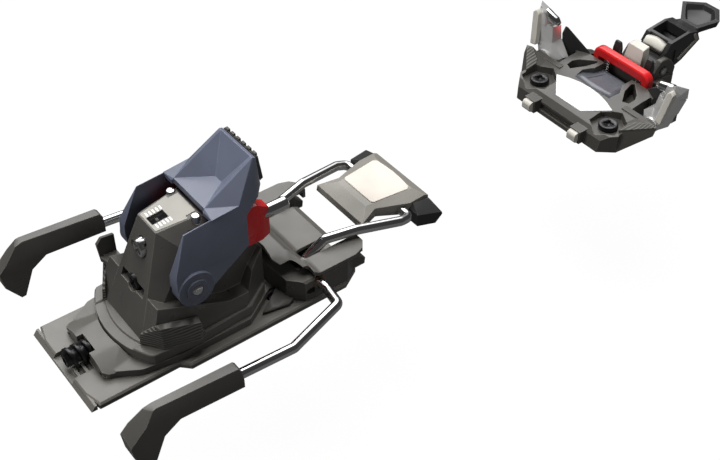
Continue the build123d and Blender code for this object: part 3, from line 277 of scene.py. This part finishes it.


# ---------------------------------------------------------------- the finishes, by material slot
# each plastic finish carries a painted highlight along its sharp edges
FINISHES = {
    "dark_shell": plastic("dark_shell", (0.060, 0.057, 0.052), 0.31, highlight_amount=0.8, highlight_gain=3.0),
    "grey_shell": plastic("grey_shell", (0.105, 0.100, 0.090), 0.33, highlight_amount=0.7, highlight_gain=2.2),
    "grip": plastic("grip", (0.040, 0.038, 0.035), 0.5, grain=0.7, highlight_amount=0.3, highlight_gain=2.4, grain_scale=1400),
    "lever_blue": plastic("lever_blue", (0.095, 0.105, 0.142), 0.31, highlight_amount=0.5, highlight_gain=2.4),
    "red_part": plastic("red_part", (0.52, 0.012, 0.014), 0.30, grain=0.1, highlight_amount=0.3, highlight_gain=1.4, coat=0.3),
    "steel_wire": metal("steel_wire", (0.92, 0.92, 0.92), 0.05, (0.2, 1, 1)),
    "steel_pin": metal("steel_pin", (0.85, 0.85, 0.85), 0.16, (1, 1, 4)),
    "dark_steel": metal("dark_steel", (0.10, 0.10, 0.105), 0.42),
    "satin_alu": plastic("satin_alu", (0.46, 0.445, 0.40), 0.36, grain=0.15, highlight_amount=0.4, highlight_gain=1.25),
    "chrome_body": metal("chrome_body", (0.82, 0.81, 0.80), 0.10),
    "cream_pad": plastic("cream_pad", (0.50, 0.455, 0.405), 0.5, grain=0.1, highlight_amount=0.2, highlight_gain=1.1),
    "treadle_grey": plastic("treadle_grey", (0.17, 0.162, 0.145), 0.36, highlight_amount=0.4, highlight_gain=1.8),
    "scale_light": plastic("scale_light", (0.25, 0.24, 0.215), 0.42, highlight_amount=0.4, highlight_gain=1.5),
    "window_dark": plastic("window_dark", (0.004, 0.004, 0.005), 0.6, grain=0.05, highlight_amount=0.0),
    "marker_white": glossy("marker_white", (0.8, 0.8, 0.8), 0.25),
    "badge_white": glossy("badge_white", (0.52, 0.52, 0.52), 0.2),
    "window_blue": plastic("window_blue", (0.10, 0.104, 0.12), 0.28, grain=0.8, highlight_amount=0.4, highlight_gain=2.0,
                           coat=0.3, grain_scale=1300),
    "toe_dark": plastic("toe_dark", (0.050, 0.047, 0.042), 0.31, highlight_amount=0.8, highlight_gain=3.0),
    "black_part": plastic("black_part", (0.018, 0.018, 0.018), 0.34, highlight_amount=0.5, highlight_gain=4.0),
    "bronze": metal("bronze", (0.50, 0.36, 0.20), 0.35),
}


def adjust(slot, **settings):
    """Sets plain inputs of a finish's shader."""
    shader = FINISHES[slot].node_tree.nodes["Principled BSDF"]
    for name, value in settings.items():
        shader.inputs[name.replace("_", " ")].default_value = value


# satin-chromed castings, and a smoked window over the pointer
adjust("chrome_body", Metallic=0.6)
adjust("window_dark", Specular_IOR_Level=0.1, Alpha=0.45)

# nodes with a finish of their own
SPECIAL_FINISHES = {
    "side_grips": ribbed("side_grip_ribs", (0.085, 0.082, 0.075), "Z", 1.4 * MM, 0.4 * MM),
    "toe_side_pads": ribbed("toe_pad_ribs", (0.10, 0.097, 0.088), "Y", 2.0 * MM, 0.5 * MM, waviness=9.0),
    "brake_cover": plastic("cover_shell", (0.075, 0.071, 0.064), 0.33, highlight_amount=0.7, highlight_gain=2.8),
    "slide_carriage": plastic("carriage_shell", (0.080, 0.076, 0.069), 0.34, highlight_amount=0.7, highlight_gain=2.6),
    "turret_flange": plastic("flange_shell", (0.080, 0.076, 0.069), 0.34, highlight_amount=0.7, highlight_gain=2.6),
}

# rounding of each node's edges, in millimetres; the other nodes keep theirs
BEVELS = {
    "heel_base_plate": 0.5, "brake_housing": 0.7, "brake_cover": 0.7, "turret_flange": 0.4,
    "turret_housing": 0.45, "climb_lever": 0.45, "heel_pin_carrier_right": 0.5, "heel_pin_carrier_left": 0.5,
    "brake_pad_right": 0.9, "brake_pad_left": 0.9, "treadle": 0.8, "treadle_lugs": 0.8, "treadle_pad": 0.35,
    "toe_base": 0.5, "toe_badge": 0.15, "toe_side_pads": 0.4, "toe_wing_right": 0.6, "toe_wing_left": 0.6,
    "wing_arm_right": 0.7, "wing_arm_left": 0.7, "wing_covers": 0.5, "trigger_bar": 0.4, "toe_lever": 0.5,
    "lock_bracket": 0.9, "lock_plate": 0.4, "boot_stops": 1.0, "slide_carriage": 0.4, "scale_plate": 0.15,
    "riser_pad": 0.35, "side_grips": 0.5, "lever_rails": 0.15, "crampon_sockets": 0.3,
}


def soften(obj, width):
    """Welds the mesh, rounds its sharp edges and evens out the shading of its flat faces."""
    weld = obj.modifiers.new("weld", "WELD")
    weld.merge_threshold = WELD_DISTANCE
    if width:
        bevel = obj.modifiers.new("round", "BEVEL")
        bevel.width = width * MM
        bevel.segments = 2
        bevel.limit_method = "ANGLE"
        bevel.angle_limit = math.radians(SHARP_ANGLE)
        bevel.use_clamp_overlap = True
    normals = obj.modifiers.new("normals", "WEIGHTED_NORMAL")
    normals.keep_sharp = False


for part in frame["record"]["subparts"]:
    node = part["node"]
    nodes[node].data.materials.clear()
    nodes[node].data.materials.append(SPECIAL_FINISHES.get(node, FINISHES[part["material_slot"]]))
    soften(nodes[node], BEVELS.get(node, 0))


# ---------------------------------------------------------------- small visual parts
def new_piece(name, verts, faces, slot):
    """A mesh object with one finish."""
    mesh = bpy.data.meshes.new(name)
    mesh.from_pydata(verts, [], faces)
    mesh.materials.append(FINISHES[slot])
    piece = bpy.data.objects.new(name, mesh)
    bpy.context.scene.collection.objects.link(piece)
    return piece


def scale_ticks():
    """White paint in the grooves beside the release scale's window."""
    slope = (PLATE_FRONT[1] - PLATE_REAR[1]) / (PLATE_FRONT[0] - PLATE_REAR[0])
    verts = []
    faces = []
    for index in range(TICK_COUNT):
        for side in (-1, 1):
            start = len(verts)
            for dx, dy, dz in BOX_CORNERS:
                x = TICK_X + index * TICK_PITCH + dx * TICK_SIZE[0]
                y = side * (TICK_INNER + dy * TICK_SIZE[1])
                z = PLATE_REAR[1] + slope * (x - PLATE_REAR[0]) + dz * TICK_SIZE[2]
                verts.append((x * MM, y * MM, z * MM))
            for face in BOX_FACES:
                faces.append([start + corner for corner in (face if side == 1 else reversed(face))])
    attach(new_piece("scale_ticks", verts, faces, "marker_white"), "turret")


def spring(name, start, direction, length, radius, wire, turns):
    """A round-wire coil spring from its fixed end along an axis."""
    along = Vector(direction)
    across = Vector((0, 1, 0))
    third = along.cross(across)
    start = Vector(start) + along * wire
    steps = turns * SPRING_STEPS
    verts = []
    for step in range(steps + 1):
        angle = math.tau * step / SPRING_STEPS
        outward = across * math.cos(angle) + third * math.sin(angle)
        middle = start + outward * radius + along * (length - 2 * wire) * step / steps
        for side in range(SPRING_SIDES):
            turn = math.tau * side / SPRING_SIDES
            verts.append(middle + outward * wire * math.cos(turn) + along * wire * math.sin(turn))
    faces = [range(SPRING_SIDES - 1, -1, -1), range(steps * SPRING_SIDES, (steps + 1) * SPRING_SIDES)]
    for low in range(0, steps * SPRING_SIDES, SPRING_SIDES):
        high = low + SPRING_SIDES
        for side in range(SPRING_SIDES):
            beside = (side + 1) % SPRING_SIDES
            faces.append((low + side, low + beside, high + beside, high + side))
    piece = new_piece(name, verts, faces, "steel_pin")
    piece.data.polygons.foreach_set("use_smooth", [True] * len(faces))
    return piece


def trigger_springs():
    """Springs under the trigger bar, which take the place of the hidden imported part."""
    low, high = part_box("trigger_springs")
    x = (low[0] + high[0]) / 2
    for side, name in ((-1, "trigger_spring_right"), (1, "trigger_spring_left")):
        start = (x, side * (high[1] - TRIGGER_COIL[0] - TRIGGER_COIL[1]), low[2])
        piece = spring(name, start, (0, 0, 1), high[2] - low[2], *TRIGGER_COIL)
        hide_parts("trigger_springs")
        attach(piece, "bases")
        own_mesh(piece)


def release_spring():
    """Spring of the vertical release, which takes the place of the hidden imported part."""
    low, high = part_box("vertical_spring")
    start = (low[0], 0, (low[2] + high[2]) / 2)
    piece = spring("release_spring", start, (1, 0, 0), high[0] - low[0], *RELEASE_COIL)
    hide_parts("vertical_spring")
    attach(piece, "turret")
    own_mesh(piece)


trigger_springs()
release_spring()
scale_ticks()


# ---------------------------------------------------------------- stage
def stage_floor():
    """Pale floor: white to the camera, and dim in polished metal and on matt surfaces."""
    bpy.ops.mesh.primitive_plane_add(size=FLOOR_SIZE, location=(0, 0, FLOOR_Z))
    floor = bpy.context.object
    floor.name = "floor"
    material, tree, shader = new_material("floor")
    shader.inputs["Base Color"].default_value = (0.9, 0.9, 0.9, 1)
    shader.inputs["Roughness"].default_value = 0.9
    path = tree.nodes.new("ShaderNodeLightPath")
    seen = path.outputs["Is Camera Ray"]
    bounced = value_mix(tree, path.outputs["Is Glossy Ray"], FLOOR_DIFFUSE, FLOOR_MIRRORED)
    glow = tree.nodes.new("ShaderNodeEmission")
    tree.links.new(value_mix(tree, seen, bounced, FLOOR_WHITE), glow.inputs["Strength"])
    mix = tree.nodes.new("ShaderNodeMixShader")
    tree.links.new(value_mix(tree, seen, 0.0, FLOOR_SHADOW), mix.inputs["Fac"])
    tree.links.new(glow.outputs["Emission"], mix.inputs[1])
    tree.links.new(shader.outputs["BSDF"], mix.inputs[2])
    tree.links.new(mix.outputs["Shader"], tree.nodes["Material Output"].inputs["Surface"])
    floor.data.materials.append(material)


def area_light(name, location, size, power):
    """A rectangular soft light that doesn't show in polished metal."""
    data = bpy.data.lights.new(name, "AREA")
    data.shape = "RECTANGLE"
    data.size = size[0]
    data.size_y = size[1]
    data.energy = power
    light = bpy.data.objects.new(name, data)
    bpy.context.scene.collection.objects.link(light)
    light.location = location
    light.rotation_euler = (Vector(LIGHT_TARGET) - Vector(location)).to_track_quat("-Z", "Y").to_euler()
    light.visible_glossy = False


def studio():
    """A dark room, white to the camera, with a bright soft panel behind the binding."""
    world = bpy.data.worlds.new("studio")
    world.use_nodes = True
    tree = world.node_tree
    background = tree.nodes["Background"]
    coords = tree.nodes.new("ShaderNodeTexCoord")
    facing = tree.nodes.new("ShaderNodeVectorMath")
    facing.operation = "DOT_PRODUCT"
    facing.inputs[1].default_value = PANEL_DIRECTION
    path = tree.nodes.new("ShaderNodeLightPath")
    tree.links.new(coords.outputs["Generated"], facing.inputs[0])
    panel = grey_ramp(tree, facing.outputs["Value"], PANEL_GLOW)
    background.inputs["Color"].default_value = (1, 1, 1, 1)
    strength = value_mix(tree, path.outputs["Is Camera Ray"], panel, 1.0)
    tree.links.new(strength, background.inputs["Strength"])
    bpy.context.scene.world = world
    for light in LIGHTS:
        area_light(*light)


def camera():
    """Rear right of the binding, looking down along it."""
    data = bpy.data.cameras.new("camera")
    data.lens = CAMERA_LENS
    data.sensor_width = 36
    data.clip_start = 0.01
    view = bpy.data.objects.new("camera", data)
    bpy.context.scene.collection.objects.link(view)
    view.location = CAMERA_PLACE
    yaw = math.radians(CAMERA_YAW)
    pitch = math.radians(CAMERA_PITCH)
    level = math.cos(pitch)
    ahead = Vector((math.cos(yaw) * level, math.sin(yaw) * level, -math.sin(pitch)))
    view.rotation_euler = ahead.to_track_quat("-Z", "Y").to_euler()
    bpy.context.scene.camera = view


stage_floor()
studio()
camera()
bpy.context.scene.view_settings.view_transform = "Standard"
